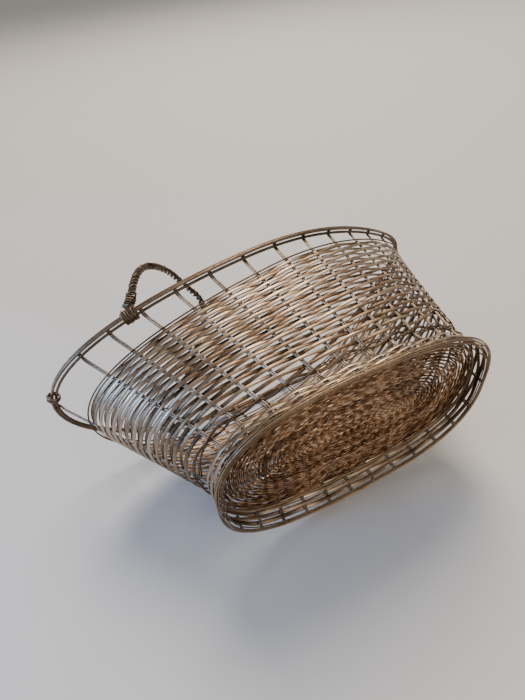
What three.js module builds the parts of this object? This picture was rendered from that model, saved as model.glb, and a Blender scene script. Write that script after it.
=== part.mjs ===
// Woven wire bottle basket with a twisted wire handle. Millimetres, +Z up, front (long lip) towards -X.
import * as THREE from 'three';

// Foot: a flared skirt that the basket stands on.
const foot = { front: 92, back: 92, halfWidth: 60.5, squareness: 2.64, centre: 0 };
const waist = { front: 92.5, back: 92.5, halfWidth: 49.5, squareness: 2.64, centre: 0 };
const footHeight = 19.2;

// Rim: a long oval, blunt at the front and narrowed towards the back, dished and higher at the back.
const rim = {
  front: 151, back: 147, halfWidth: 71, squareness: 2, centre: -10,
  frontTaper: 0.04, backTaper: 0.4,
};
const rimHeight = 116.5;
const rimTilt = 0.11;
const rimSweep = 0.00088;

// Uprights: a tip stake at each end and the same number down each side.
const stakesPerSide = 12;
const frontGap = 0.142; // share of half the rim between the front stake and the next one
const backGap = 0.095;
const stakeWidth = 2.6;
const stakeThickness = 1.4;
const skirtStakeRises = [0.12, 0.55, 0.93]; // where a stake's points lie, as shares of the skirt
const wallStakeRises = [0.012, 0.5, 0.975]; // and of the wall
const fitGap = 0.4; // between a stake and what is woven round it
const pieceGap = 0.3; // between pieces laid on each other
const carriedStart = [0.31, 0.17, 0.93]; // the first direction across a wire that has no outs
const turnStep = 0.002; // share of a ring between two points that give its direction
const widthStep = 0.001; // share of a ring between two points that give its width

// Rim wires and the hooks that hold the stakes on them.
const rimInnerRadius = 0.9;
const rimOuterRadius = 1.0;
const rimTopRadius = 0.9;
const hookSlack = 0.1;
const hookRadius = rimInnerRadius + pieceGap + stakeThickness / 2 + hookSlack;
const hookDrop = 1.2; // a stake's head starts to bend this far under the inner wire
const hookDegrees = [180, 150, 120, 92];
const rimInnerPlace = [-1.2, -1.5]; // outward and upward from the rim's centre line
const rimOuterPlace = [1.3, -0.6];
const rimTopPlace = [0.8, 1.7];

// Weaving: strips that pass outside and inside the stakes.
const stripThickness = 0.7;
const weaveStart = 0.1; // as a share of the wall, from the waist up
const weaveSplit = 0.48;
const weaveTopFront = 0.76;
const weaveTopBack = 0.955;
const splitGap = 0.004;
const edgeWireRadius = 0.55;
const edgeWireGap = 0.4; // between the weave's top edge and the wire along it
const twistRise = 0.05; // the pair of wires twisted round the stakes above the waist
const twistRadius = 0.5;
const skirtWeaveStart = 0.17; // as a share of the skirt, from the floor up
const skirtWeaveEnd = 0.86;

// Wires round the foot's lower edge.
const footWireWidth = 2.2;
const footWireHeight = 1.4;
const footSideRadius = 0.7;
const footSideHeight = 1.15;

// Woven base, held up inside the skirt.
const baseHeight = 10;
const baseSkin = 0.6; // woven over and under the cross sticks
const baseOutlineRoom = 1.5; // the skirt leans in by this height above the base's upper face
const baseEdgeRadius = 0.8;
const baseEdgeInset = 1.6;
const crossStickRadius = 0.8;
const crossStickHeight = baseHeight + baseSkin + pieceGap + crossStickRadius;
const baseTop = crossStickHeight + crossStickRadius + pieceGap + baseSkin;
const crossStickEndGap = 1.5;
const crossStickPlaces = [-60, -30, 0, 30, 60];

// Handle: two wires laid as a rope, lashed to the rim on both sides and leaning back.
const strandRadius = 1.25;
const strandGap = 0.68;
const strandOffset = strandRadius + strandGap / 2;
const ropePitch = 9.2;
const ropeSteps = 6;
const ropeFoot = 0.5; // the rope leans at its ends, so this share of its radius reaches down to a lashing
const routeFrames = 400;
const lashedAfter = 3; // the rope is lashed between this stake, counted from the front tip, and the next,
const lashedShare = 0.7; // this share of the way along
const lashingWireRadius = 0.9;
const lashingTurns = 4;
const lashingPitch = 2.2;
const tieTurn = 0.014; // as a share of the way round the rim from the front tip
const tieWireRadius = 0.6;
const tieTurns = 2.5;
const tiePitch = 1.6;
const bindingWireRadius = 0.5;
const bindingTurns = 2.5;
const bindingPitch = 1.4;
const bindingPlace = 0.56; // along the rope, from the near side
const tailLength = 15;
const tailBow = 2.5;
const coilSteps = 8; // sides of one turn of a coil
const coilSlack = 0.1; // between a coil and what it is wound round, past the gap of touching pieces
const tieSlack = 0.3;
const bindingSlack = 0.3;
const tailSlack = 0.2;

// The rope's bends: each leg's from its own end, and the top's from the middle between the two ends.
const nearLeg = [[5, -2.7, 6.2], [10, -0.7, 21.2], [17, 3.3, 38.2], [26, 12.3, 56.2], [37, 25.3, 69.7]];
const overTop = [[47, -17, 77.2], [56, 0, 79.4], [66, 18, 78.6]];
const farLeg = [[66, -24.3, 73.2], [53, -10.3, 60.2], [35, -1.3, 40.2], [18, 2.7, 21.2], [7, 2.7, 6.2]];

const silver = { color: 0x9a8873, metalness: 1.0, roughness: 0.38 };
const darkWire = { color: 0x5f4f3c, metalness: 1.0, roughness: 0.45 };
const copperBase = { color: 0x84603f, metalness: 1.0, roughness: 0.42 };

const basket = new THREE.Group();

function addPiece(name, geometry, finish) {
  const mesh = new THREE.Mesh(geometry, new THREE.MeshStandardMaterial(finish));
  mesh.name = name;
  basket.add(mesh);
  return mesh;
}

// A superellipse with its own length and narrowing at each end, starting at the front tip.
class Oval extends THREE.Curve {
  constructor(size) {
    super();
    this.size = size;
    this.arcLengthDivisions = 2880;
  }

  getPoint(share) {
    const angle = 2 * Math.PI * share;
    const lengthwise = -Math.cos(angle);
    const sideways = -Math.sin(angle);
    const atFront = lengthwise < 0;
    const reach = atFront ? this.size.front : this.size.back;
    const taper = (atFront ? this.size.frontTaper : this.size.backTaper) ?? 0;
    const power = 2 / this.size.squareness;
    const x = this.size.centre + Math.sign(lengthwise) * reach * Math.abs(lengthwise) ** power;
    const width = this.size.halfWidth * (1 - taper * lengthwise * lengthwise);
    return new THREE.Vector3(x, Math.sign(sideways) * width * Math.abs(sideways) ** power, 0);
  }
}

const footOval = new Oval(foot);
const waistOval = new Oval(waist);
const rimOval = new Oval(rim);

const wrap = (turn) => ((turn % 1) + 1) % 1;
const onFoot = (turn) => footOval.getPointAt(wrap(turn));
const onWaist = (turn) => waistOval.getPointAt(wrap(turn)).setZ(footHeight);

function onRim(turn) {
  const point = rimOval.getPointAt(wrap(turn));
  const along = point.x - rim.centre;
  return point.setZ(rimHeight + rimTilt * along + rimSweep * along * along);
}

// Level direction pointing out of a ring at one place on it.
function outOf(ring, turn) {
  const along = ring(turn + turnStep).sub(ring(turn - turnStep));
  return new THREE.Vector3(along.y, -along.x, 0).normalize();
}

function besideRim(turn, [outward, upward]) {
  const point = onRim(turn).addScaledVector(outOf(onRim, turn), outward);
  point.z += upward;
  return point;
}

// The stakes run straight up to the inside of the rim's inner wire.
const stakeHead = (turn) => besideRim(turn, [rimInnerPlace[0] - hookRadius, rimInnerPlace[1] - hookDrop]);
const wall = { bottom: onWaist, top: stakeHead };
const skirt = { bottom: onFoot, top: onWaist };

function surfacePoint(surface, turn, rise) {
  return surface.bottom(turn).lerp(surface.top(turn), rise);
}

function surfaceOut(surface, turn, rise) {
  const along = surfacePoint(surface, turn + turnStep, rise).sub(surfacePoint(surface, turn - turnStep, rise));
  const up = surface.top(turn).sub(surface.bottom(turn));
  return along.cross(up).normalize();
}

function offSurface(surface, turn, rise, proud) {
  return surfacePoint(surface, turn, rise).addScaledVector(surfaceOut(surface, turn, rise), proud);
}

// Places of the stakes, as shares of the way round from the front tip.
function stakeTurns() {
  const side = [];
  const step = (1 - frontGap - backGap) / (stakesPerSide - 1);
  for (let i = 0; i < stakesPerSide; i += 1) side.push((frontGap + i * step) / 2);
  const otherSide = side.map((turn) => 1 - turn).reverse();
  return [0, ...side, 0.5, ...otherSide];
}

const stakes = stakeTurns();
const lashingTurn = THREE.MathUtils.lerp(stakes[lashedAfter - 1], stakes[lashedAfter], lashedShare);

// Stations round a ring: every stake and evenly spread places between it and the next,
// with twice as many in the wide gaps at the tight ends.
function stations(between) {
  const turns = [];
  stakes.forEach((turn, i) => {
    const next = i + 1 < stakes.length ? stakes[i + 1] : 1;
    const besideTip = [0, stakesPerSide, stakesPerSide + 1, stakes.length - 1].includes(i);
    const count = besideTip ? between * 2 : between;
    for (let j = 0; j < count; j += 1) turns.push(turn + ((next - turn) * j) / count);
  });
  return turns;
}

// How many stakes have been passed at one place, with the share of the way to the next.
function stakesPassed(turn) {
  let i = stakes.length - 1;
  while (stakes[i] > turn) i -= 1;
  const next = i + 1 < stakes.length ? stakes[i + 1] : 1;
  return i + (turn - stakes[i]) / (next - stakes[i]);
}

// Joins rings of points into one closed body; a loop joins its last ring to its first.
function loft(rings, isLoop) {
  const sides = rings[0].length;
  const points = rings.flat();
  const index = [];
  const joins = isLoop ? rings.length : rings.length - 1;
  for (let i = 0; i < joins; i += 1) {
    const next = (i + 1) % rings.length;
    for (let j = 0; j < sides; j += 1) {
      const k = (j + 1) % sides;
      index.push(i * sides + j, next * sides + k, next * sides + j);
      index.push(i * sides + j, i * sides + k, next * sides + k);
    }
  }
  if (!isLoop) {
    const last = (rings.length - 1) * sides;
    for (let j = 1; j < sides - 1; j += 1) {
      index.push(0, j + 1, j);
      index.push(last, last + j, last + j + 1);
    }
  }
  if (signedVolume(points, index) < 0) index.reverse();
  const geometry = new THREE.BufferGeometry().setFromPoints(points);
  geometry.setIndex(index);
  geometry.computeVertexNormals();
  return geometry;
}

function signedVolume(points, index) {
  let volume = 0;
  for (let i = 0; i < index.length; i += 3) {
    const [a, b, c] = [points[index[i]], points[index[i + 1]], points[index[i + 2]]];
    volume += a.dot(b.clone().cross(c)) / 6;
  }
  return volume;
}

function roundSection(radius, sides) {
  return Array.from({ length: sides }, (_, i) => {
    const angle = (2 * Math.PI * (i + 0.5)) / sides;
    return [radius * Math.cos(angle), radius * Math.sin(angle)];
  });
}

// A flat wire with rounded edges: thickness first, then width.
function flatSection(thickness, width) {
  const [t, w] = [thickness / 2, width / 2];
  return [[t, -0.6 * w], [t, 0.6 * w], [0, w], [-t, 0.6 * w], [-t, -0.6 * w], [0, -w]];
}

// Sweeps a section along points; its first axis follows the outs, or is carried along without them.
function sweep(points, section, { outs = null, isLoop = false } = {}) {
  const last = points.length - 1;
  let out = new THREE.Vector3(...carriedStart);
  const rings = points.map((point, i) => {
    const before = points[i > 0 ? i - 1 : isLoop ? last : 0];
    const after = points[i < last ? i + 1 : isLoop ? 0 : last];
    const along = after.clone().sub(before).normalize();
    const first = (outs ? outs[i] : out).clone();
    first.addScaledVector(along, -first.dot(along)).normalize();
    out = first;
    const second = along.clone().cross(first);
    return section.map(([a, b]) => point.clone().addScaledVector(first, a).addScaledVector(second, b));
  });
  return loft(rings, isLoop);
}

// A wire laid round the basket: place gives its centre, out its outward direction.
function ringWire(turns, place, out, section) {
  return sweep(turns.map(place), section, { outs: turns.map(out), isLoop: true });
}

// A thin woven skin between two heights, on one side of the stakes.
function weaveSkin(surface, fromRise, toRise, side) {
  const near = side * (stakeThickness / 2 + fitGap);
  const far = near + side * stripThickness;
  const rings = stations(3).map((turn) => {
    const [low, high] = [fromRise(turn), toRise(turn)];
    return [
      offSurface(surface, turn, low, near),
      offSurface(surface, turn, high, near),
      offSurface(surface, turn, high, far),
      offSurface(surface, turn, low, far),
    ];
  });
  return loft(rings, true);
}

const weaveTop = (turn) => {
  const point = onRim(turn);
  const share = (point.x - (rim.centre - rim.front)) / (rim.front + rim.back);
  return weaveTopFront + (weaveTopBack - weaveTopFront) * share;
};

function addStakes() {
  const section = flatSection(stakeThickness, stakeWidth);
  stakes.forEach((turn, i) => {
    const points = [];
    const outs = [];
    const put = (point, out) => {
      points.push(point);
      outs.push(out);
    };
    for (const rise of skirtStakeRises) {
      put(surfacePoint(skirt, turn, rise), surfaceOut(skirt, turn, rise));
    }
    for (const rise of wallStakeRises) {
      put(surfacePoint(wall, turn, rise), surfaceOut(wall, turn, rise));
    }
    const [outward, upward] = rimInnerPlace;
    const hookOut = outOf(onRim, turn);
    for (const degrees of hookDegrees) {
      const angle = THREE.MathUtils.degToRad(degrees);
      const across = hookRadius * Math.cos(angle);
      const over = hookRadius * Math.sin(angle);
      const away = hookOut.clone().multiplyScalar(-Math.cos(angle)).setZ(-Math.sin(angle));
      put(besideRim(turn, [outward + across, upward + over]), away);
    }
    const name = `stake_${String(i + 1).padStart(2, '0')}`;
    addPiece(name, sweep(points, section, { outs }), silver);
  });
}

function addRim() {
  const turns = stations(3);
  const out = (turn) => outOf(onRim, turn);
  const wires = [
    ['rim_inner_wire', rimInnerPlace, rimInnerRadius],
    ['rim_outer_wire', rimOuterPlace, rimOuterRadius],
    ['rim_top_wire', rimTopPlace, rimTopRadius],
  ];
  for (const [name, place, radius] of wires) {
    const centre = (turn) => besideRim(turn, place);
    addPiece(name, ringWire(turns, centre, out, roundSection(radius, 6)), silver);
  }
}

function addBodyWeave() {
  const start = () => weaveStart;
  const splitBelow = () => weaveSplit - splitGap;
  const splitAbove = () => weaveSplit + splitGap;
  for (const [label, side] of [['outer', 1], ['inner', -1]]) {
    addPiece(`body_weave_${label}_lower`, weaveSkin(wall, start, splitBelow, side), silver);
    addPiece(`body_weave_${label}_upper`, weaveSkin(wall, splitAbove, weaveTop, side), silver);
    const proud = side * (stakeThickness / 2 + fitGap + edgeWireRadius);
    const rise = edgeWireGap + edgeWireRadius;
    const centre = (turn) => {
      const height = wall.top(turn).distanceTo(wall.bottom(turn));
      return offSurface(wall, turn, weaveTop(turn) + rise / height, proud);
    };
    const out = (turn) => surfaceOut(wall, turn, weaveTop(turn));
    const wire = ringWire(stations(3), centre, out, roundSection(edgeWireRadius, 5));
    addPiece(`weave_edge_wire_${label}`, wire, silver);
  }
}

// Two wires that cross between every two stakes, so each stake sits in an eye of the pair.
function addTwistPair() {
  const reach = stakeThickness / 2 + fitGap + twistRadius;
  for (const [label, phase] of [['a', 0], ['b', Math.PI]]) {
    const points = [];
    const outs = [];
    for (const turn of stations(4)) {
      const angle = phase + Math.PI * stakesPassed(turn);
      const height = wall.top(turn).distanceTo(wall.bottom(turn));
      const rise = twistRise + (reach * Math.sin(angle)) / height;
      points.push(offSurface(wall, turn, rise, reach * Math.cos(angle)));
      outs.push(surfaceOut(wall, turn, twistRise));
    }
    const wire = sweep(points, roundSection(twistRadius, 5), { outs, isLoop: true });
    addPiece(`waist_twist_wire_${label}`, wire, silver);
  }
}

function addFoot() {
  const start = () => skirtWeaveStart;
  const end = () => skirtWeaveEnd;
  addPiece('foot_weave_outer', weaveSkin(skirt, start, end, 1), silver);
  addPiece('foot_weave_inner', weaveSkin(skirt, start, end, -1), silver);
  const turns = stations(3);
  const out = (turn) => outOf(onFoot, turn);
  const under = (turn) => onFoot(turn).setZ(footWireHeight / 2);
  const flat = flatSection(footWireHeight, footWireWidth);
  const upright = flat.map(([thickness, width]) => [width, thickness]);
  addPiece('foot_border_bottom', ringWire(turns, under, out, upright), silver);
  const aside = footWireWidth / 2 + pieceGap + footSideRadius;
  for (const [label, side] of [['outer', 1], ['inner', -1]]) {
    const place = (turn) => under(turn).setZ(footSideHeight).addScaledVector(out(turn), side * aside);
    addPiece(`foot_border_${label}`, ringWire(turns, place, out, roundSection(footSideRadius, 5)), silver);
  }
}

// The base's outline: inside the skirt's woven inner skin, just above the base's upper face.
const baseInset = stakeThickness / 2 + fitGap + stripThickness + fitGap;
function onBase(turn, inset = 0) {
  const rise = (baseTop + baseOutlineRoom) / footHeight;
  const point = surfacePoint(skirt, turn, rise);
  return point.addScaledVector(outOf(onWaist, turn), -baseInset - inset).setZ(baseHeight);
}

function addBase() {
  const turns = stations(2);
  const outline = new THREE.Shape(turns.map((turn) => {
    const point = onBase(turn, pieceGap);
    return new THREE.Vector2(point.x, point.y);
  }));
  for (const [label, height] of [['lower', baseHeight], ['upper', baseTop - baseSkin]]) {
    const skin = new THREE.ExtrudeGeometry(outline, { depth: baseSkin, bevelEnabled: false });
    skin.translate(0, 0, height);
    addPiece(`base_weave_${label}`, skin, copperBase);
  }

  const edge = (turn) => onBase(turn, baseEdgeInset).setZ(baseHeight - pieceGap - baseEdgeRadius);
  const out = (turn) => outOf(onWaist, turn);
  addPiece('base_edge_wire', ringWire(turns, edge, out, roundSection(baseEdgeRadius, 5)), silver);

  crossStickPlaces.forEach((x, i) => {
    const reach = halfWidthAt(x) - crossStickEndGap;
    const ends = [-reach, reach].map((y) => new THREE.Vector3(x, y, crossStickHeight));
    const stick = sweep(ends, roundSection(crossStickRadius, 6));
    addPiece(`base_cross_stick_${i + 1}`, stick, silver);
  });
}

// Half the base's width at one place along it.
function halfWidthAt(x) {
  let best = onBase(0.25);
  for (let turn = 0; turn < 0.5; turn += widthStep) {
    const point = onBase(turn, pieceGap);
    if (Math.abs(point.x - x) < Math.abs(best.x - x)) best = point;
  }
  return Math.abs(best.y);
}

// A coil of wire wound round a length of rim.
function rimCoil(turn, radius, wireRadius, turnsOfWire, pitch) {
  const rimLength = rimOval.getLength();
  const steps = Math.round(turnsOfWire * coilSteps);
  const points = [];
  for (let i = 0; i <= steps; i += 1) {
    const angle = (2 * Math.PI * i) / coilSteps;
    const slide = (i / coilSteps - turnsOfWire / 2) * pitch;
    const place = [radius * Math.cos(angle), radius * Math.sin(angle)];
    points.push(besideRim(turn + slide / rimLength, place));
  }
  return sweep(points, roundSection(wireRadius, 5));
}

const bundleRadius = Math.hypot(...rimInnerPlace) + rimInnerRadius; // round all the rim's wires
const lashingRadius = bundleRadius + pieceGap + lashingWireRadius + coilSlack;
// The rope starts on top of its lashing.
const handleRise = lashingRadius + lashingWireRadius + pieceGap + ropeFoot * (strandOffset + strandRadius);

function handleRoute() {
  const start = besideRim(lashingTurn, [0, handleRise]);
  const finish = besideRim(1 - lashingTurn, [0, handleRise]);
  const between = start.clone().lerp(finish, 0.5);
  const bends = (from, offsets) => offsets.map((offset) => new THREE.Vector3(...offset).add(from));
  const legs = [...bends(start, nearLeg), ...bends(between, overTop), ...bends(finish, farLeg)];
  return new THREE.CatmullRomCurve3([start, ...legs, finish], false, 'centripetal');
}

// Points of a wire wound round a route, offset from it.
function woundPoints(route, length, from, to, offset, pitch, stepsPerTurn, phase) {
  const steps = Math.round(((to - from) * length * stepsPerTurn) / pitch);
  const frames = route.computeFrenetFrames(routeFrames, false);
  const points = [];
  for (let i = 0; i <= steps; i += 1) {
    const share = from + ((to - from) * i) / steps;
    const angle = phase + (2 * Math.PI * i) / stepsPerTurn;
    const frame = Math.round(share * routeFrames);
    const point = route.getPointAt(share);
    point.addScaledVector(frames.normals[frame], offset * Math.cos(angle));
    point.addScaledVector(frames.binormals[frame], offset * Math.sin(angle));
    points.push(point);
  }
  return points;
}

function addHandle() {
  const route = handleRoute();
  route.arcLengthDivisions = 2000;
  const length = route.getLength();
  for (const [label, phase] of [['a', 0], ['b', Math.PI]]) {
    const points = woundPoints(route, length, 0, 1, strandOffset, ropePitch, ropeSteps, phase);
    addPiece(`handle_strand_${label}`, sweep(points, roundSection(strandRadius, 5)), darkWire);
  }
  for (const [label, turn] of [['near', lashingTurn], ['far', 1 - lashingTurn]]) {
    const coil = rimCoil(turn, lashingRadius, lashingWireRadius, lashingTurns, lashingPitch);
    addPiece(`handle_lashing_${label}`, coil, darkWire);
  }
  const tieAround = bundleRadius + pieceGap + tieWireRadius + tieSlack;
  addPiece('front_rim_tie', rimCoil(tieTurn, tieAround, tieWireRadius, tieTurns, tiePitch), darkWire);

  const bindingOffset = strandOffset + strandRadius + pieceGap + bindingWireRadius + bindingSlack;
  const bindingSpan = (bindingTurns * bindingPitch) / length;
  const binding = woundPoints(
    route, length, bindingPlace, bindingPlace + bindingSpan, bindingOffset, bindingPitch, coilSteps, 0,
  );
  addPiece('handle_binding', sweep(binding, roundSection(bindingWireRadius, 5)), darkWire);

  const tailStart = route.getPointAt(bindingPlace + bindingSpan / 2);
  tailStart.x += bindingOffset + bindingWireRadius + pieceGap + tailSlack;
  const tail = [0, 0.35, 0.7, 1].map((share) => {
    const lift = tailBow * Math.sin(Math.PI * share * 0.6);
    return tailStart.clone().add(new THREE.Vector3(tailLength * share, 0, lift));
  });
  addPiece('handle_tail_wire', sweep(tail, roundSection(bindingWireRadius, 5)), darkWire);
}

addStakes();
addRim();
addBodyWeave();
addTwistPair();
addFoot();
addBase();
addHandle();

// The origin is under the middle of the whole basket, on the floor.
const bounds = new THREE.Box3().setFromObject(basket);
const middle = bounds.getCenter(new THREE.Vector3());
for (const piece of basket.children) piece.position.set(-middle.x, -middle.y, -bounds.min.z);

export default basket;
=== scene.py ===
import math

import bpy
import numpy as np
from mathutils import Matrix, Vector


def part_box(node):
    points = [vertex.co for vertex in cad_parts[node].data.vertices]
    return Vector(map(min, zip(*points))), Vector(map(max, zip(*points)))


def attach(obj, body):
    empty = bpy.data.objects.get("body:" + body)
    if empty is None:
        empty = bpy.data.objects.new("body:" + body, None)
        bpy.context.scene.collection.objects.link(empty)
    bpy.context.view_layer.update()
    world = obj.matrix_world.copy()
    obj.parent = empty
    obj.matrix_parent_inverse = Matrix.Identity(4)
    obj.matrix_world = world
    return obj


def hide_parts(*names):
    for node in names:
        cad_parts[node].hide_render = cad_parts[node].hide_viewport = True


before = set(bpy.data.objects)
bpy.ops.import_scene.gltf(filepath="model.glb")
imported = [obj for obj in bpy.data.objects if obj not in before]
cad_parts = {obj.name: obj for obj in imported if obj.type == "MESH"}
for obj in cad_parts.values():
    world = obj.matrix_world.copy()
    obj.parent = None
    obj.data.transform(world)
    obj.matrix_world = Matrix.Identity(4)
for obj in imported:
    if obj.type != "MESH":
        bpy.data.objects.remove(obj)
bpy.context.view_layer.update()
mm = 0.001
chance = np.random.default_rng(11)
print("frame loaded:", len(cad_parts), "nodes")

# Lengths in these settings are millimetres, measured from the middle of the foot; rises are shares of a wall.
shape = {
    "foot": {"front": 92, "back": 92, "halfWidth": 60.5, "squareness": 2.64, "centre": 0},
    "waist": {"front": 92.5, "back": 92.5, "halfWidth": 49.5, "squareness": 2.64, "centre": 0},
    "rim": {
        "front": 151, "back": 147, "halfWidth": 71, "squareness": 2, "centre": -10,
        "frontTaper": 0.04, "backTaper": 0.4,
    },
    "footHeight": 19.2,
    "rimHeight": 116.5,
    "rimTilt": 0.11,
    "rimSweep": 0.00088,
    "stakesPerSide": 12,
    "frontGap": 0.142,
    "backGap": 0.095,
    "weaveTopFront": 0.76,
    "weaveTopBack": 0.955,
    "samples": 2881,
    "turnStep": 0.002,
}
footLow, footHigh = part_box("foot_border_bottom")
middle = np.array([(footLow.x + footHigh.x) / 2 / mm, (footLow.y + footHigh.y) / 2 / mm, footLow.z / mm])


# Where the woven surfaces lie.
def ovalPath(size, shares):
    angle = 2 * np.pi * shares
    lengthwise = -np.cos(angle)
    sideways = -np.sin(angle)
    reach = np.where(lengthwise < 0, size["front"], size["back"])
    taper = np.where(lengthwise < 0, size.get("frontTaper", 0), size.get("backTaper", 0))
    power = 2 / size["squareness"]
    x = size["centre"] + np.sign(lengthwise) * reach * np.abs(lengthwise) ** power
    y = np.sign(sideways) * size["halfWidth"] * (1 - taper * lengthwise**2) * np.abs(sideways) ** power
    return np.stack([x, y, np.zeros_like(x)], axis=-1)


def ovalAt(size, turns):
    shares = np.linspace(0, 1, shape["samples"])
    steps = np.linalg.norm(np.diff(ovalPath(size, shares), axis=0), axis=1)
    travelled = np.concatenate([[0], np.cumsum(steps)])
    return ovalPath(size, np.interp(np.mod(turns, 1) * travelled[-1], travelled, shares))


def unit(vectors):
    return vectors / np.linalg.norm(vectors, axis=-1, keepdims=True)


def onFoot(turns):
    return ovalAt(shape["foot"], turns)


def onWaist(turns):
    return ovalAt(shape["waist"], turns) + np.array([0, 0, shape["footHeight"]])


def onRim(turns):
    points = ovalAt(shape["rim"], turns)
    along = points[..., 0] - shape["rim"]["centre"]
    points[..., 2] = shape["rimHeight"] + shape["rimTilt"] * along + shape["rimSweep"] * along**2
    return points


def levelOut(ring, turns):
    along = ring(turns + shape["turnStep"]) - ring(turns - shape["turnStep"])
    return unit(np.stack([along[..., 1], -along[..., 0], np.zeros_like(turns)], axis=-1))


def besideRim(turns, outward, upward):
    points = onRim(turns) + levelOut(onRim, turns) * np.asarray(outward)[..., None]
    points[..., 2] += upward
    return points


# A stake's head, hooked over the rim's inner wire.
hook = {"outward": -1.2, "upward": -1.5, "radius": 2.0, "drop": 1.2, "degrees": range(180, 30, -18)}


def stakeHead(turns):
    return besideRim(turns, hook["outward"] - hook["radius"], hook["upward"] - hook["drop"])


wall = (onWaist, stakeHead)
skirt = (onFoot, onWaist)


def onSurface(surface, turns, rise):
    low, high = surface[0](turns), surface[1](turns)
    return low + (high - low) * np.asarray(rise)[..., None]


def surfaceOut(surface, turns, rise):
    ahead, behind = turns + shape["turnStep"], turns - shape["turnStep"]
    along = onSurface(surface, ahead, rise) - onSurface(surface, behind, rise)
    return unit(np.cross(along, surface[1](turns) - surface[0](turns)))


def wallHeight(surface, turns):
    return np.linalg.norm(surface[1](turns) - surface[0](turns), axis=-1)


def stakePlaces():
    step = (1 - shape["frontGap"] - shape["backGap"]) / (shape["stakesPerSide"] - 1)
    side = [(shape["frontGap"] + i * step) / 2 for i in range(shape["stakesPerSide"])]
    return np.array([0, *side, 0.5, *[1 - turn for turn in reversed(side)]])


stakes = stakePlaces()


def stations(perGap):
    edges = np.append(stakes, 1)
    return np.concatenate([np.linspace(a, b, perGap, endpoint=False) for a, b in zip(edges[:-1], edges[1:])])


def stakesPassed(turns):
    return np.interp(turns, np.append(stakes, 1), np.arange(len(stakes) + 1))


# Uneven hand work: slow waves round the basket, each of its own strength.
unevenness = {"waves": (2, 3, 5, 8, 13), "least": 0.3, "gain": 2}


def wander(turns, size):
    waves = unevenness["waves"]
    total = np.zeros_like(turns)
    for wave in waves:
        bend = np.sin(2 * np.pi * (wave * turns + chance.random()))
        total += bend * chance.uniform(unevenness["least"], 1) / len(waves)
    return total * size * unevenness["gain"]


def weaveTop(turns):
    rim = shape["rim"]
    share = (onRim(turns)[..., 0] - (rim["centre"] - rim["front"])) / (rim["front"] + rim["back"])
    return shape["weaveTopFront"] + (shape["weaveTopBack"] - shape["weaveTopFront"]) * share


# How wires and strips are made.
def place(points):
    return (points + middle) * mm


def deselect():
    bpy.ops.object.select_all(action="DESELECT")


# Shared by all strips and wires; the shoulder is a strip's bevel, as shares of half its thickness and width.
making = {
    "shoulder": (0.88, 0.8), "torus": (0.1, 0.01), "mergeGap": 0.00001, "smoothDegrees": 50,
    "spanSamples": 40, "frameStart": (0.31, 0.17, 0.93),
}


def flatSection(thickness, width):
    t, w = thickness / 2, width / 2
    a, b = making["shoulder"][0] * t, making["shoulder"][1] * w
    return np.array([(t, 0), (a, b), (0, w), (-a, b), (-t, 0), (-a, -b), (0, -w), (a, -b)])


def roundSection(radius, sides=8):
    angles = 2 * np.pi * np.arange(sides) / sides
    return radius * np.stack([np.cos(angles), np.sin(angles)], axis=-1)


def addRing(points, outs, section, lean=0.0, tone=0.5, crest=0.5):
    # A torus whose stations are carried onto the path; the section's first axis points outwards.
    deselect()
    count, sides = len(points), len(section)
    major, minor = making["torus"]
    bpy.ops.mesh.primitive_torus_add(
        major_segments=count, minor_segments=sides, major_radius=major, minor_radius=minor, generate_uvs=True
    )
    ring = bpy.context.active_object
    along = unit(np.roll(points, -1, axis=0) - np.roll(points, 1, axis=0))
    out = unit(outs - along * np.sum(outs * along, axis=1, keepdims=True))
    up = np.cross(out, along)
    angle = np.broadcast_to(lean, (count,))[:, None]
    leanOut = out * np.cos(angle) + up * np.sin(angle)
    leanUp = up * np.cos(angle) - out * np.sin(angle)
    body = points[:, None, :] + leanOut[:, None, :] * section[:, 0, None]
    body = body + leanUp[:, None, :] * section[:, 1, None]
    ring.data.vertices.foreach_set("co", place(body).reshape(-1).astype(np.float32))
    writeShade(ring, tone, np.repeat(np.broadcast_to(crest, (count,)), sides))
    ring.data.update()
    return ring


# Each point gets a random tone and a painted shade value: lighter on crests, darker in hollows, or one level
# for a whole wire.
def writeShade(piece, tone, crest):
    count = len(piece.data.vertices)
    for name, values in (("tone", tone), ("crest", crest)):
        layer = piece.data.attributes.new(name, "FLOAT", "POINT")
        layer.data.foreach_set("value", np.broadcast_to(values, (count,)).astype(np.float32))


def addWires(paths, radius, sides=8, tone=0.5, crest=0.5):
    # Open wires with closed ends, drawn as curves and turned into one mesh.
    deselect()
    curve = bpy.data.curves.new("wire", "CURVE")
    curve.dimensions = "3D"
    curve.bevel_depth = radius * mm
    curve.bevel_resolution = (sides - 4) // 2
    curve.use_fill_caps = True
    for path in paths:
        spline = curve.splines.new("POLY")
        spline.points.add(len(path) - 1)
        flat = np.concatenate([place(np.asarray(path)), np.ones((len(path), 1))], axis=1)
        spline.points.foreach_set("co", flat.reshape(-1).astype(np.float32))
    wires = bpy.data.objects.new("wire", curve)
    bpy.context.collection.objects.link(wires)
    wires.select_set(True)
    bpy.context.view_layer.objects.active = wires
    bpy.ops.object.convert(target="MESH")
    wires = bpy.context.active_object
    bpy.ops.object.mode_set(mode="EDIT")
    bpy.ops.mesh.select_all(action="SELECT")
    bpy.ops.mesh.remove_doubles(threshold=making["mergeGap"])
    bpy.ops.mesh.normals_make_consistent(inside=False)
    bpy.ops.object.mode_set(mode="OBJECT")
    writeShade(wires, tone, crest)
    return wires


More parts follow.
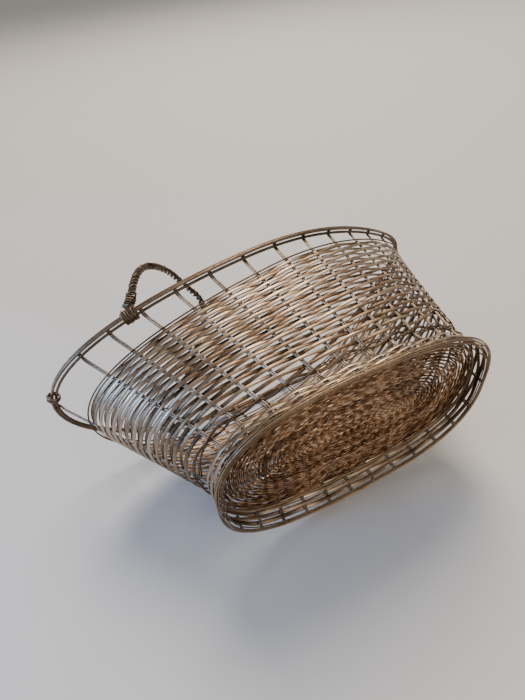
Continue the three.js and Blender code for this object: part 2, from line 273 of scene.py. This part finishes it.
def finishPiece(parts, name, finish, nodes):
    # Joins the parts into one named piece, which stands for its CAD nodes.
    deselect()
    for part in parts:
        part.select_set(True)
    piece = parts[0]
    bpy.context.view_layer.objects.active = piece
    if len(parts) > 1:
        bpy.ops.object.join()
    bpy.ops.object.transform_apply(location=True, rotation=True, scale=True)
    bpy.ops.object.shade_smooth_by_angle(angle=math.radians(making["smoothDegrees"]))
    piece.name = name
    piece.data.name = name
    piece.data.materials.clear()
    piece.data.materials.append(finish)
    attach(piece, "root")
    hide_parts(*nodes)
    return piece


def smoothRoute(corners, count):
    # A centripetal spline through the corners, sampled at even distances.
    knots = np.vstack([2 * corners[0] - corners[1], corners, 2 * corners[-1] - corners[-2]])
    samples = []
    for a, b, c, d in zip(knots[:-3], knots[1:-2], knots[2:-1], knots[3:]):
        t1 = np.linalg.norm(b - a) ** 0.5
        t2 = t1 + np.linalg.norm(c - b) ** 0.5
        t3 = t2 + np.linalg.norm(d - c) ** 0.5
        t = np.linspace(t1, t2, making["spanSamples"], endpoint=False)[:, None]
        ab = (t1 - t) / t1 * a + t / t1 * b
        bc = (t2 - t) / (t2 - t1) * b + (t - t1) / (t2 - t1) * c
        cd = (t3 - t) / (t3 - t2) * c + (t - t2) / (t3 - t2) * d
        first = (t2 - t) / t2 * ab + t / t2 * bc
        second = (t3 - t) / (t3 - t1) * bc + (t - t1) / (t3 - t1) * cd
        samples.append((t2 - t) / (t2 - t1) * first + (t - t1) / (t2 - t1) * second)
    samples = np.vstack([*samples, corners[-1]])
    travelled = np.concatenate([[0], np.cumsum(np.linalg.norm(np.diff(samples, axis=0), axis=1))])
    wanted = np.linspace(0, travelled[-1], count)
    even = np.stack([np.interp(wanted, travelled, samples[:, k]) for k in range(3)], axis=1)
    return even, travelled[-1]


def carriedFrame(points):
    # Two directions across the path, carried along it without twist.
    along = unit(np.gradient(points, axis=0))
    side = unit(np.cross(along[0], making["frameStart"]))
    sides = []
    for direction in along:
        side = unit(side - direction * np.dot(side, direction))
        sides.append(side)
    sides = np.array(sides)
    return sides, np.cross(along, sides)


def windRound(points, radius, pitch, length, phase=0.0):
    # Points of a wire wound round a path of evenly spaced points.
    across, over = carriedFrame(points)
    angle = phase + 2 * np.pi * np.linspace(0, length, len(points)) / pitch
    return points + radius * (across * np.cos(angle)[:, None] + over * np.sin(angle)[:, None])


# Finishes.
class Signal:
    def __init__(self, tree, socket):
        self.tree = tree
        self.socket = socket

    def math(self, operation, first, second):
        node = self.tree.nodes.new("ShaderNodeMath")
        node.operation = operation
        for slot, value in enumerate((first, second)):
            if isinstance(value, Signal):
                self.tree.links.new(value.socket, node.inputs[slot])
            else:
                node.inputs[slot].default_value = value
        return Signal(self.tree, node.outputs[0])

    def __add__(self, other):
        return self.math("ADD", self, other)

    def __sub__(self, other):
        return self.math("SUBTRACT", self, other)

    def __mul__(self, other):
        return self.math("MULTIPLY", self, other)

    def __rsub__(self, other):
        return self.math("SUBTRACT", other, self)

    __radd__ = __add__
    __rmul__ = __mul__


class Finish:
    def __init__(self, name):
        self.material = bpy.data.materials.new(name)
        self.material.use_nodes = True
        self.tree = self.material.node_tree
        self.tree.nodes.clear()

    def node(self, kind, settings, values, output=0):
        node = self.tree.nodes.new(kind)
        for name, value in settings.items():
            if name == "stops":
                ramp = node.color_ramp.elements
                while len(ramp) < len(value):
                    ramp.new(0.5)
                for stop, (position, colour) in zip(ramp, value):
                    stop.position = position
                    stop.color = colour
            else:
                setattr(node, name, value)
        for name, value in values.items():
            if isinstance(value, Signal):
                self.tree.links.new(value.socket, node.inputs[name])
            else:
                node.inputs[name].default_value = value
        return Signal(self.tree, node.outputs[output])

    def show(self, surface):
        self.tree.links.new(surface.socket, self.tree.nodes.new("ShaderNodeOutputMaterial").inputs["Surface"])


def rgb(colour):
    return (*colour, 1.0)


# Wear and painted shade that all the finishes share: sizes of its noises, and what weighs in the colour.
wearAndShade = {
    "patches": {"Scale": 45.0, "Detail": 4.0}, "specks": {"Scale": 620.0, "Detail": 3.0},
    "grain": {"Scale": 2400.0, "Detail": 2.0}, "tone": 0.5, "crest": 0.4, "grainInRoughness": 0.12,
    "specksInRelief": 0.7, "grainInRelief": 0.3, "reliefDepth": 0.0002, "stops": (0.12, 0.45, 0.85),
}


def metalFinish(name, look):
    f = Finish(name)
    spot = f.node("ShaderNodeTexCoord", {}, {}, "Object")
    tone = f.node("ShaderNodeAttribute", {"attribute_name": "tone"}, {}, "Fac")
    crest = f.node("ShaderNodeAttribute", {"attribute_name": "crest"}, {}, "Fac")
    patches, specks, grain = [
        f.node("ShaderNodeTexNoise", {}, {"Vector": spot, **wearAndShade[size]}, "Fac")
        for size in ("patches", "specks", "grain")
    ]

    # The colour mixes random tone, tarnish patches and specks with the painted shade of crests and hollows.
    wornAndShaded = tone * wearAndShade["tone"] + crest * wearAndShade["crest"]
    wornAndShaded = wornAndShaded + (patches - 0.5) * look["patches"] + (specks - 0.5) * look["speckle"]
    stops = [(stop, rgb(look[shade])) for stop, shade in zip(wearAndShade["stops"], ("dark", "middle", "bright"))]
    colour = f.node("ShaderNodeValToRGB", {"stops": stops}, {"Fac": wornAndShaded}, "Color")
    rough = look["roughness"] + (1 - wornAndShaded) * look["dulling"] + (grain - 0.5) * wearAndShade["grainInRoughness"]
    relief = specks * wearAndShade["specksInRelief"] + grain * wearAndShade["grainInRelief"]
    bump = f.node(
        "ShaderNodeBump", {},
        {"Strength": look["relief"], "Distance": wearAndShade["reliefDepth"], "Height": relief}, "Normal",
    )
    surface = f.node(
        "ShaderNodeBsdfPrincipled", {},
        {"Base Color": colour, "Metallic": 1.0, "Roughness": rough, "Normal": bump}, "BSDF",
    )
    f.show(surface)
    return f.material


looks = {
    "strip": {
        "dark": (0.06, 0.035, 0.019), "middle": (0.24, 0.16, 0.098), "bright": (0.46, 0.35, 0.25),
        "roughness": 0.34, "dulling": 0.2, "speckle": 0.5, "patches": 0.6, "relief": 0.3,
    },
    "stake": {
        "dark": (0.06, 0.04, 0.025), "middle": (0.21, 0.155, 0.108), "bright": (0.40, 0.325, 0.255),
        "roughness": 0.32, "dulling": 0.2, "speckle": 0.4, "patches": 0.5, "relief": 0.2,
    },
    "rim": {
        "dark": (0.035, 0.021, 0.012), "middle": (0.145, 0.095, 0.06), "bright": (0.31, 0.235, 0.165),
        "roughness": 0.34, "dulling": 0.2, "speckle": 0.5, "patches": 0.7, "relief": 0.25,
    },
    "waist": {
        "dark": (0.045, 0.028, 0.016), "middle": (0.18, 0.12, 0.075), "bright": (0.38, 0.29, 0.20),
        "roughness": 0.34, "dulling": 0.2, "speckle": 0.5, "patches": 0.7, "relief": 0.25,
    },
    "foot": {
        "dark": (0.055, 0.032, 0.017), "middle": (0.23, 0.155, 0.093), "bright": (0.46, 0.35, 0.245),
        "roughness": 0.34, "dulling": 0.2, "speckle": 0.5, "patches": 0.6, "relief": 0.3,
    },
    "base": {
        "dark": (0.045, 0.018, 0.007), "middle": (0.20, 0.10, 0.045), "bright": (0.50, 0.33, 0.21),
        "roughness": 0.34, "dulling": 0.2, "speckle": 0.8, "patches": 0.5, "relief": 0.3,
    },
    "handle": {
        "dark": (0.04, 0.026, 0.015), "middle": (0.16, 0.115, 0.075), "bright": (0.36, 0.28, 0.2),
        "roughness": 0.4, "dulling": 0.2, "speckle": 0.7, "patches": 0.6, "relief": 0.35,
    },
}
finishes = {name: metalFinish(f"{name}_metal", look) for name, look in looks.items()}
print("finishes made")

# The body weave.
bodyWeave = {
    "rows": 26, "width": 2.6, "thickness": 0.5, "proud": 1.05, "start": 0.115, "crowding": 0.86,
    "topGap": 1.9, "split": 12, "wobble": 0.42, "lean": 0.2, "perGap": 9,
    "widths": (0.88, 1.08), "tones": (0.15, 0.95),
    "windowTurn": 0.425, "windowSpan": 0.035, "windowLift": 9.0, "windowRows": 1.8,
}


def bodyRow(row):
    turns = stations(bodyWeave["perGap"])
    height = wallHeight(wall, turns)
    share = (row / (bodyWeave["rows"] - 1)) ** bodyWeave["crowding"]
    top = weaveTop(turns) - bodyWeave["topGap"] / height
    rise = bodyWeave["start"] + (top - bodyWeave["start"]) * share
    window = np.exp(-(((turns - bodyWeave["windowTurn"]) / bodyWeave["windowSpan"]) ** 2))
    lift = bodyWeave["windowLift"] * window * math.exp(-row / bodyWeave["windowRows"])
    rise = rise + (lift + wander(turns, bodyWeave["wobble"])) / height
    swing = np.cos(np.pi * (stakesPassed(turns) + row))
    outs = surfaceOut(wall, turns, rise)
    points = onSurface(wall, turns, rise) + outs * (bodyWeave["proud"] * swing)[:, None]
    section = flatSection(bodyWeave["thickness"], bodyWeave["width"] * chance.uniform(*bodyWeave["widths"]))
    lean = wander(turns, bodyWeave["lean"])
    # The last value is painted shade: lighter where the strip swings out over a stake, darker where it passes
    # inside.
    return addRing(points, outs, section, lean, chance.uniform(*bodyWeave["tones"]), 0.5 + 0.5 * swing)


rows = [bodyRow(row) for row in range(bodyWeave["rows"])]
finishPiece(
    rows[: bodyWeave["split"]], "body_strips_lower", finishes["strip"],
    ["body_weave_outer_lower", "body_weave_inner_lower"],
)
finishPiece(
    rows[bodyWeave["split"] :], "body_strips_upper", finishes["strip"],
    ["body_weave_outer_upper", "body_weave_inner_upper"],
)
print("body weave done")

# Wires along the top edge of the weave, outside and inside the stakes.
edgeWires = {
    "radius": 0.5, "proud": 1.45, "above": 0.95, "wobble": 0.12, "perGap": 8, "crest": 0.4,
    "sides": ((1, "outer", 0.3), (-1, "inner", 0.6)),
}
for side, label, tone in edgeWires["sides"]:
    turns = stations(edgeWires["perGap"])
    height = wallHeight(wall, turns)
    rise = weaveTop(turns) + (edgeWires["above"] + wander(turns, edgeWires["wobble"])) / height
    outs = surfaceOut(wall, turns, rise)
    points = onSurface(wall, turns, rise) + outs * side * edgeWires["proud"]
    ring = addRing(points, outs, roundSection(edgeWires["radius"]), 0, tone, edgeWires["crest"])
    finishPiece([ring], f"edge_wire_{label}", finishes["waist"], [f"weave_edge_wire_{label}"])
print("edge wires done")

# Stakes: each is a doubled wire hooked over the rim's inner wire.
stakeWire = {
    "radius": 0.62, "apart": 0.66, "skirtRises": (0.1, 0.3, 0.6, 0.9), "wallRises": (0.02, 0.08, 0.5, 0.97),
    "foldDegrees": (30, 60, 90, 120, 150), "sides": 8, "tones": (0.3, 0.8), "crest": 0.7,
}


def stakePath(turn):
    spot = np.array([turn])
    points = [onSurface(skirt, spot, np.array([rise]))[0] for rise in stakeWire["skirtRises"]]
    points += [onSurface(wall, spot, np.array([rise]))[0] for rise in stakeWire["wallRises"]]
    for degrees in hook["degrees"]:
        angle = math.radians(degrees)
        outward = hook["outward"] + hook["radius"] * math.cos(angle)
        upward = hook["upward"] + hook["radius"] * math.sin(angle)
        points.append(besideRim(spot, outward, upward)[0])
    return np.array(points)


for i, turn in enumerate(stakes):
    path = stakePath(turn)
    sideways = np.cross(levelOut(onRim, np.array([turn]))[0], [0, 0, 1])
    down = unit(path[0] - path[1])
    fold = np.radians(stakeWire["foldDegrees"])[:, None]
    bend = path[0] + stakeWire["apart"] * (down * np.sin(fold) - sideways * np.cos(fold))
    left, right = path - sideways * stakeWire["apart"], path + sideways * stakeWire["apart"]
    hairpin = np.vstack([left[::-1], bend, right])
    tone = chance.uniform(*stakeWire["tones"])
    wires = addWires([hairpin], stakeWire["radius"], stakeWire["sides"], tone, stakeWire["crest"])
    number = f"{i + 1:02d}"
    finishPiece([wires], f"doubled_stake_{number}", finishes["stake"], [f"stake_{number}"])
print("stakes done")

# The rim.
rimWires = {
    "inner": {"place": (-1.2, -1.5), "radius": 0.9, "tone": 0.35},
    "outer": {"place": (1.3, -0.6), "radius": 1.0, "tone": 0.75},
    "top": {"place": (0.8, 1.7), "radius": 0.9, "tone": 0.6},
}
rimMaking = {"perGap": 8, "wobble": 0.08, "sides": 10}
for label, wire in rimWires.items():
    turns = stations(rimMaking["perGap"])
    outward = wire["place"][0] + wander(turns, rimMaking["wobble"])
    upward = wire["place"][1] + wander(turns, rimMaking["wobble"])
    points = besideRim(turns, outward, upward)
    section = roundSection(wire["radius"], rimMaking["sides"])
    ring = addRing(points, levelOut(onRim, turns), section, 0, wire["tone"])
    finishPiece([ring], f"rim_{label}", finishes["rim"], [f"rim_{label}_wire"])
print("rim done")

# The waist: thin wires that cross between the stakes.
waistWires = {
    "rise": 0.05, "reach": 1.6, "radius": 0.42, "spread": 1.0, "sag": 0.7, "perGap": 9, "sides": 6,
    "tones": (0.3, 0.7), "crest": 0.4,
}
for label, phase in (("a", 0.0), ("b", math.pi)):
    turns = stations(waistWires["perGap"])
    height = wallHeight(wall, turns)
    angle = phase + np.pi * stakesPassed(turns)
    strands = []
    for strand, tone in enumerate(waistWires["tones"]):
        sag = wander(turns, waistWires["sag"])
        above = waistWires["reach"] * np.sin(angle) + sag + strand * waistWires["spread"]
        rise = waistWires["rise"] + above / height
        outs = surfaceOut(wall, turns, np.full_like(turns, waistWires["rise"]))
        points = onSurface(wall, turns, rise) + outs * (waistWires["reach"] * np.cos(angle))[:, None]
        section = roundSection(waistWires["radius"], waistWires["sides"])
        strands.append(addRing(points, outs, section, 0, tone, waistWires["crest"]))
    node = f"waist_twist_wire_{label}"
    finishPiece(strands, f"waist_pair_{label}", finishes["waist"], [node])
print("waist done")

# The foot.
footWeave = {
    "rows": 5, "width": 3.0, "thickness": 0.5, "proud": 1.05, "start": 0.24, "end": 0.82, "perGap": 9,
    "wobble": 0.35, "lean": 0.15, "widths": (0.85, 1.05), "tones": (0.3, 1.0),
}


def footRow(row):
    turns = stations(footWeave["perGap"])
    height = wallHeight(skirt, turns)
    share = row / (footWeave["rows"] - 1)
    rise = footWeave["start"] + (footWeave["end"] - footWeave["start"]) * share
    rise = rise + wander(turns, footWeave["wobble"]) / height
    swing = np.cos(np.pi * (stakesPassed(turns) + row))
    outs = surfaceOut(skirt, turns, rise)
    points = onSurface(skirt, turns, rise) + outs * (footWeave["proud"] * swing)[:, None]
    section = flatSection(footWeave["thickness"], footWeave["width"] * chance.uniform(*footWeave["widths"]))
    lean = wander(turns, footWeave["lean"])
    # The last value is painted shade: lighter where the strip swings out over a stake, darker where it passes
    # inside.
    return addRing(points, outs, section, lean, chance.uniform(*footWeave["tones"]), 0.5 + 0.5 * swing)


finishPiece(
    [footRow(row) for row in range(footWeave["rows"])], "foot_strips", finishes["foot"],
    ["foot_weave_outer", "foot_weave_inner"],
)

footBorder = {
    "bottom": {"places": ((-0.75, 0.55), (0.6, 0.6)), "radius": 0.45},
    "outer": {"places": ((1.9, 0.75), (1.8, 2.1)), "radius": 0.42},
    "inner": {"places": ((-2.1, 1.15),), "radius": 0.42},
}
borderMaking = {"perGap": 8, "sideways": 0.22, "upwards": 0.25, "tones": (0.3, 0.9)}
for label, border in footBorder.items():
    turns = stations(borderMaking["perGap"])
    outs = levelOut(onFoot, turns)
    wires = []
    for outward, upward in border["places"]:
        points = onFoot(turns) + outs * (outward + wander(turns, borderMaking["sideways"]))[:, None]
        points[:, 2] = upward + np.abs(wander(turns, borderMaking["upwards"]))
        tone = chance.uniform(*borderMaking["tones"])
        wires.append(addRing(points, outs, roundSection(border["radius"]), 0, tone))
    finishPiece(wires, f"foot_edge_{label}", finishes["foot"], [f"foot_border_{label}"])
print("foot done")

# The base: rounds of fine wire about a middle line.
baseWeave = {
    "height": 11.7, "top": 14.9, "rounds": 42, "wire": 0.54, "swing": 1.1, "ripple": 0.3, "stickGap": 30,
    "ripples": 84, "spine": 0.42, "inset": 2.6, "steps": 252,
    "first": 0.6, "upwards": 0.1, "sideways": 0.25, "sides": 5, "tones": (0.0, 0.9),
    "paintedSwingShade": 0.05, "paintedRippleShade": 0.45,
}


def onBase(turns, inset):
    rise = np.full_like(turns, baseWeave["top"] / shape["footHeight"])
    points = onSurface(skirt, turns, rise) - levelOut(onWaist, turns) * inset
    points[..., 2] = baseWeave["height"]
    return points


def baseRound(k):
    turns = np.arange(baseWeave["steps"]) / baseWeave["steps"]
    edge = onBase(turns, baseWeave["inset"])
    share = (k + baseWeave["first"]) / baseWeave["rounds"]
    spine = edge * np.array([baseWeave["spine"], 0, 1])
    points = spine + (edge - spine) * share
    swing = np.cos(np.pi * (points[:, 0] / baseWeave["stickGap"] + k))
    ripple = np.cos(np.pi * (baseWeave["ripples"] * turns + chance.uniform(0, 2)))
    points[:, 2] += baseWeave["swing"] * swing + baseWeave["ripple"] * ripple
    points[:, 2] += wander(turns, baseWeave["upwards"])
    points[:, 1] += wander(turns, baseWeave["sideways"]) * share
    outs = levelOut(onWaist, turns)
    section = roundSection(baseWeave["wire"], baseWeave["sides"])
    # Painted light and shade on the ripples and on the up-and-down swing, which draws short dashes along each
    # round.
    crest = 0.5 - baseWeave["paintedSwingShade"] * swing - baseWeave["paintedRippleShade"] * ripple
    return addRing(points, outs, section, 0, chance.uniform(*baseWeave["tones"]), crest)


finishPiece(
    [baseRound(k) for k in range(baseWeave["rounds"])], "base_rounds", finishes["base"],
    ["base_weave_lower", "base_weave_upper"],
)

baseEdge = {"inset": 3.8, "height": 8.9, "radius": 0.75, "perGap": 6}
turns = stations(baseEdge["perGap"])
points = onBase(turns, baseEdge["inset"])
points[:, 2] = baseEdge["height"]
edge = addRing(points, levelOut(onWaist, turns), roundSection(baseEdge["radius"]))
finishPiece([edge], "base_rim_wire", finishes["foot"], ["base_edge_wire"])

crossSticks = {"count": 5, "radius": 0.8, "points": 9, "sides": 10}
for i in range(crossSticks["count"]):
    low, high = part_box(f"base_cross_stick_{i + 1}")
    x, z = (low.x + high.x) / 2 / mm, (low.z + high.z) / 2 / mm
    path = [np.array([x, y / mm, z]) - middle for y in np.linspace(low.y, high.y, crossSticks["points"])]
    stick = addWires([path], crossSticks["radius"], crossSticks["sides"])
    node = f"base_cross_stick_{i + 1}"
    finishPiece([stick], f"cross_stick_{i + 1}", finishes["foot"], [node])
print("base done")

# The handle.
handle = {
    "lashedStake": 3, "lashedShare": 0.7, "rise": 6.74, "strandOffset": 1.59, "ropePitch": 9.2,
    "wire": 0.6, "wireOffset": 0.62, "wirePitch": 22, "sides": 6,
    "tones": (0.25, 0.45, 0.65), "samples": 900, "bindingPlace": 0.56,
    "nearLeg": [(5, -2.7, 6.2), (10, -0.7, 21.2), (17, 3.3, 38.2), (26, 12.3, 56.2), (37, 25.3, 69.7)],
    "overTop": [(47, -17, 77.2), (56, 0, 79.4), (66, 18, 78.6)],
    "farLeg": [(66, -24.3, 73.2), (53, -10.3, 60.2), (35, -1.3, 40.2), (18, 2.7, 21.2), (7, 2.7, 6.2)],
}
lashingTurn = stakes[handle["lashedStake"] - 1] + handle["lashedShare"] * (
    stakes[handle["lashedStake"]] - stakes[handle["lashedStake"] - 1]
)
start = besideRim(np.array([lashingTurn]), 0, handle["rise"])[0]
end = besideRim(np.array([1 - lashingTurn]), 0, handle["rise"])[0]
bends = [start]
for origin, offsets in ((start, "nearLeg"), ((start + end) / 2, "overTop"), (end, "farLeg")):
    bends += [origin + np.array(offset) for offset in handle[offsets]]
rope, ropeLength = smoothRoute(np.array(bends + [end]), handle["samples"])
for label, phase in (("a", 0.0), ("b", math.pi)):
    strand = windRound(rope, handle["strandOffset"], handle["ropePitch"], ropeLength, phase)
    wires = []
    for k, tone in enumerate(handle["tones"]):
        turned = 2 * math.pi * k / len(handle["tones"])
        wire = windRound(strand, handle["wireOffset"], handle["wirePitch"], ropeLength, turned)
        wires.append(addWires([wire], handle["wire"], handle["sides"], tone))
    finishPiece(wires, f"rope_strand_{label}", finishes["handle"], [f"handle_strand_{label}"])
print("rope done:", round(ropeLength), "mm")

# Coils of wire: two layers round the rim at each end of the rope, and one round the rope's foot there.
coil = {"stepsPerTurn": 14, "unevenness": 0.05, "unevenTurns": 1.37, "rimSamples": 721, "sides": 6}
lashing = {
    "layers": ((3.6, 8, 1.1, 1), (4.5, 6, 1.5, -1)), "wire": 0.5, "tone": 0.4,
    "footRadius": 3.3, "footPitch": 1.5, "footSamples": 40,
}
tieWire = {"turn": 0.014, "radius": 3.95, "turns": 4, "pitch": 1.1, "wire": 0.5}


def rimCoil(turn, radius, turnsOfWire, pitch, hand=1):
    around = onRim(np.linspace(0, 1, coil["rimSamples"]))
    perimeter = np.linalg.norm(np.diff(around, axis=0), axis=1).sum()
    angle = np.linspace(0, 2 * np.pi * turnsOfWire, int(turnsOfWire * coil["stepsPerTurn"]) + 1)
    slide = (angle / (2 * np.pi) - turnsOfWire / 2) * pitch
    uneven = radius * (1 + coil["unevenness"] * np.sin(angle * coil["unevenTurns"]))
    return besideRim(turn + slide / perimeter, uneven * np.cos(hand * angle), uneven * np.sin(hand * angle))


for label, turn in (("near", lashingTurn), ("far", 1 - lashingTurn)):
    layers = [rimCoil(turn, *layer) for layer in lashing["layers"]]
    fromEnd = rope if label == "near" else rope[::-1]
    foot = fromEnd[: lashing["footSamples"]]
    footLength = ropeLength * len(foot) / len(rope)
    layers.append(windRound(foot, lashing["footRadius"], lashing["footPitch"], footLength))
    wires = addWires(layers, lashing["wire"], coil["sides"], lashing["tone"])
    node = f"handle_lashing_{label}"
    finishPiece([wires], f"rope_lashing_{label}", finishes["handle"], [node])
tieCoil = rimCoil(tieWire["turn"], tieWire["radius"], tieWire["turns"], tieWire["pitch"])
tie = addWires([tieCoil], tieWire["wire"], coil["sides"])
finishPiece([tie], "front_tie", finishes["rim"], ["front_rim_tie"])

bindingWire = {"samples": 16, "radius": 3.3, "pitch": 1.1, "wire": 0.45}
first = int(handle["bindingPlace"] * len(rope))
bound = rope[first : first + bindingWire["samples"]]
wound = windRound(bound, bindingWire["radius"], bindingWire["pitch"], ropeLength * len(bound) / len(rope))
binding = addWires([wound], bindingWire["wire"], coil["sides"])
finishPiece([binding], "rope_binding", finishes["handle"], ["handle_binding"])

# The tail: a pair of thin wires twisted together, bowed upwards.
tailWire = {
    "samples": 60, "above": 0.6, "bow": 2.2, "bend": 0.6, "offset": 0.42, "pitch": 3.0, "length": 15,
    "wire": 0.34, "tone": 0.6,
}
tailLow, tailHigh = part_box("handle_tail_wire")
share = np.linspace(0, 1, tailWire["samples"])
tailLine = np.stack([
    (tailLow.x + (tailHigh.x - tailLow.x) * share) / mm,
    np.full_like(share, (tailLow.y + tailHigh.y) / 2 / mm),
    tailLow.z / mm + tailWire["above"] + tailWire["bow"] * np.sin(np.pi * tailWire["bend"] * share),
], axis=1) - middle
pair = [
    windRound(tailLine, tailWire["offset"], tailWire["pitch"], tailWire["length"], phase)
    for phase in (0.0, math.pi)
]
tail = addWires(pair, tailWire["wire"], coil["sides"], tailWire["tone"])
finishPiece([tail], "rope_tail", finishes["base"], ["handle_tail_wire"])
print("handle done")

# Floor, light and camera: the basket lies on its far side.
stage = {
    "paint": (0.62, 0.60, 0.57), "roughness": 0.65, "size": 40, "samples": 721,
    "rimReach": (2.3, -0.6), "footTurn": 0.75, "footReach": (0, 2.7, 1.0),
    "sky": (0.80, 0.77, 0.74), "skyStrength": 0.5,
}


def floorFinish():
    f = Finish("pale_floor")
    look = {"Base Color": rgb(stage["paint"]), "Roughness": stage["roughness"]}
    paint = f.node("ShaderNodeBsdfPrincipled", {}, look, "BSDF")
    clear = f.node("ShaderNodeBsdfTransparent", {}, {}, "BSDF")
    behind = f.node("ShaderNodeNewGeometry", {}, {}, "Backfacing")
    mixed = f.node("ShaderNodeMixShader", {}, {0: behind, 1: paint, 2: clear}, "Shader")
    f.show(mixed)
    return f.material


# The floor lies against the far side's outermost points of rim and foot.
farSide = np.linspace(0.5, 1, stage["samples"])
rimSide = besideRim(farSide, *stage["rimReach"])
touchRim = rimSide[np.argmax(rimSide[:, 1])]
touchFoot = onFoot(np.array([stage["footTurn"]]))[0] + np.array(stage["footReach"])
upFloor = touchRim - touchFoot
floorNormal = Vector((0, -upFloor[2], upFloor[1])).normalized()
floorPlace = Vector(place((touchRim + touchFoot) / 2))
floorPlace.x = float(middle[0]) * mm
deselect()
bpy.ops.mesh.primitive_plane_add(size=stage["size"])
floor = bpy.context.active_object
floor.name = "floor"
tilt = floorNormal.to_track_quat("Z", "Y").to_matrix().to_4x4()
floor.data.transform(Matrix.Translation(floorPlace) @ tilt)
floor.data.materials.append(floorFinish())
floor.visible_shadow = False

studio = {
    "key": {
        "from": (0.35, -1.0, 0.75), "distance": 3.0, "size": 1.5, "power": 100, "colour": (1.0, 0.90, 0.79),
    },
    "front": {
        "from": (-1.0, -0.3, 0.05), "distance": 0.8, "size": 0.2, "power": 4.5, "colour": (0.22, 0.48, 1.0),
    },
    "low": {
        "from": (0.2, -0.5, -1.0), "distance": 1.1, "size": 0.6, "power": 3.5, "colour": (1.0, 0.90, 0.80),
    },
}
target = Vector((0, 0, 0.07))
for name, lamp in studio.items():
    data = bpy.data.lights.new(f"{name}_light", "AREA")
    data.energy = lamp["power"]
    data.size = lamp["size"]
    data.color = lamp["colour"]
    light = bpy.data.objects.new(f"{name}_light", data)
    bpy.context.collection.objects.link(light)
    direction = Vector(lamp["from"]).normalized()
    light.location = target + direction * lamp["distance"]
    light.rotation_euler = direction.to_track_quat("Z", "Y").to_euler()

world = bpy.data.worlds.new("studio")
bpy.context.scene.world = world
world.use_nodes = True
background = world.node_tree.nodes["Background"]
background.inputs["Color"].default_value = rgb(stage["sky"])
background.inputs["Strength"].default_value = stage["skyStrength"]

view = {
    "position": (-112.92, -247.36, -129.55), "right": (0.8935, 0.0678, -0.4439),
    "down": (-0.3583, 0.7034, -0.6138), "lens": 25.10, "nearest": 0.01,
}
camera = bpy.data.objects.new("camera", bpy.data.cameras.new("camera"))
bpy.context.collection.objects.link(camera)
right = Vector(view["right"]).normalized()
down = Vector(view["down"])
down = (down - right * down.dot(right)).normalized()
forward = right.cross(down)
turned = Matrix((right, -down, -forward)).transposed().to_4x4()
camera.matrix_world = Matrix.Translation(Vector(place(np.array(view["position"])))) @ turned
camera.data.lens = view["lens"]
camera.data.clip_start = view["nearest"]
bpy.context.scene.camera = camera
print("stage done")
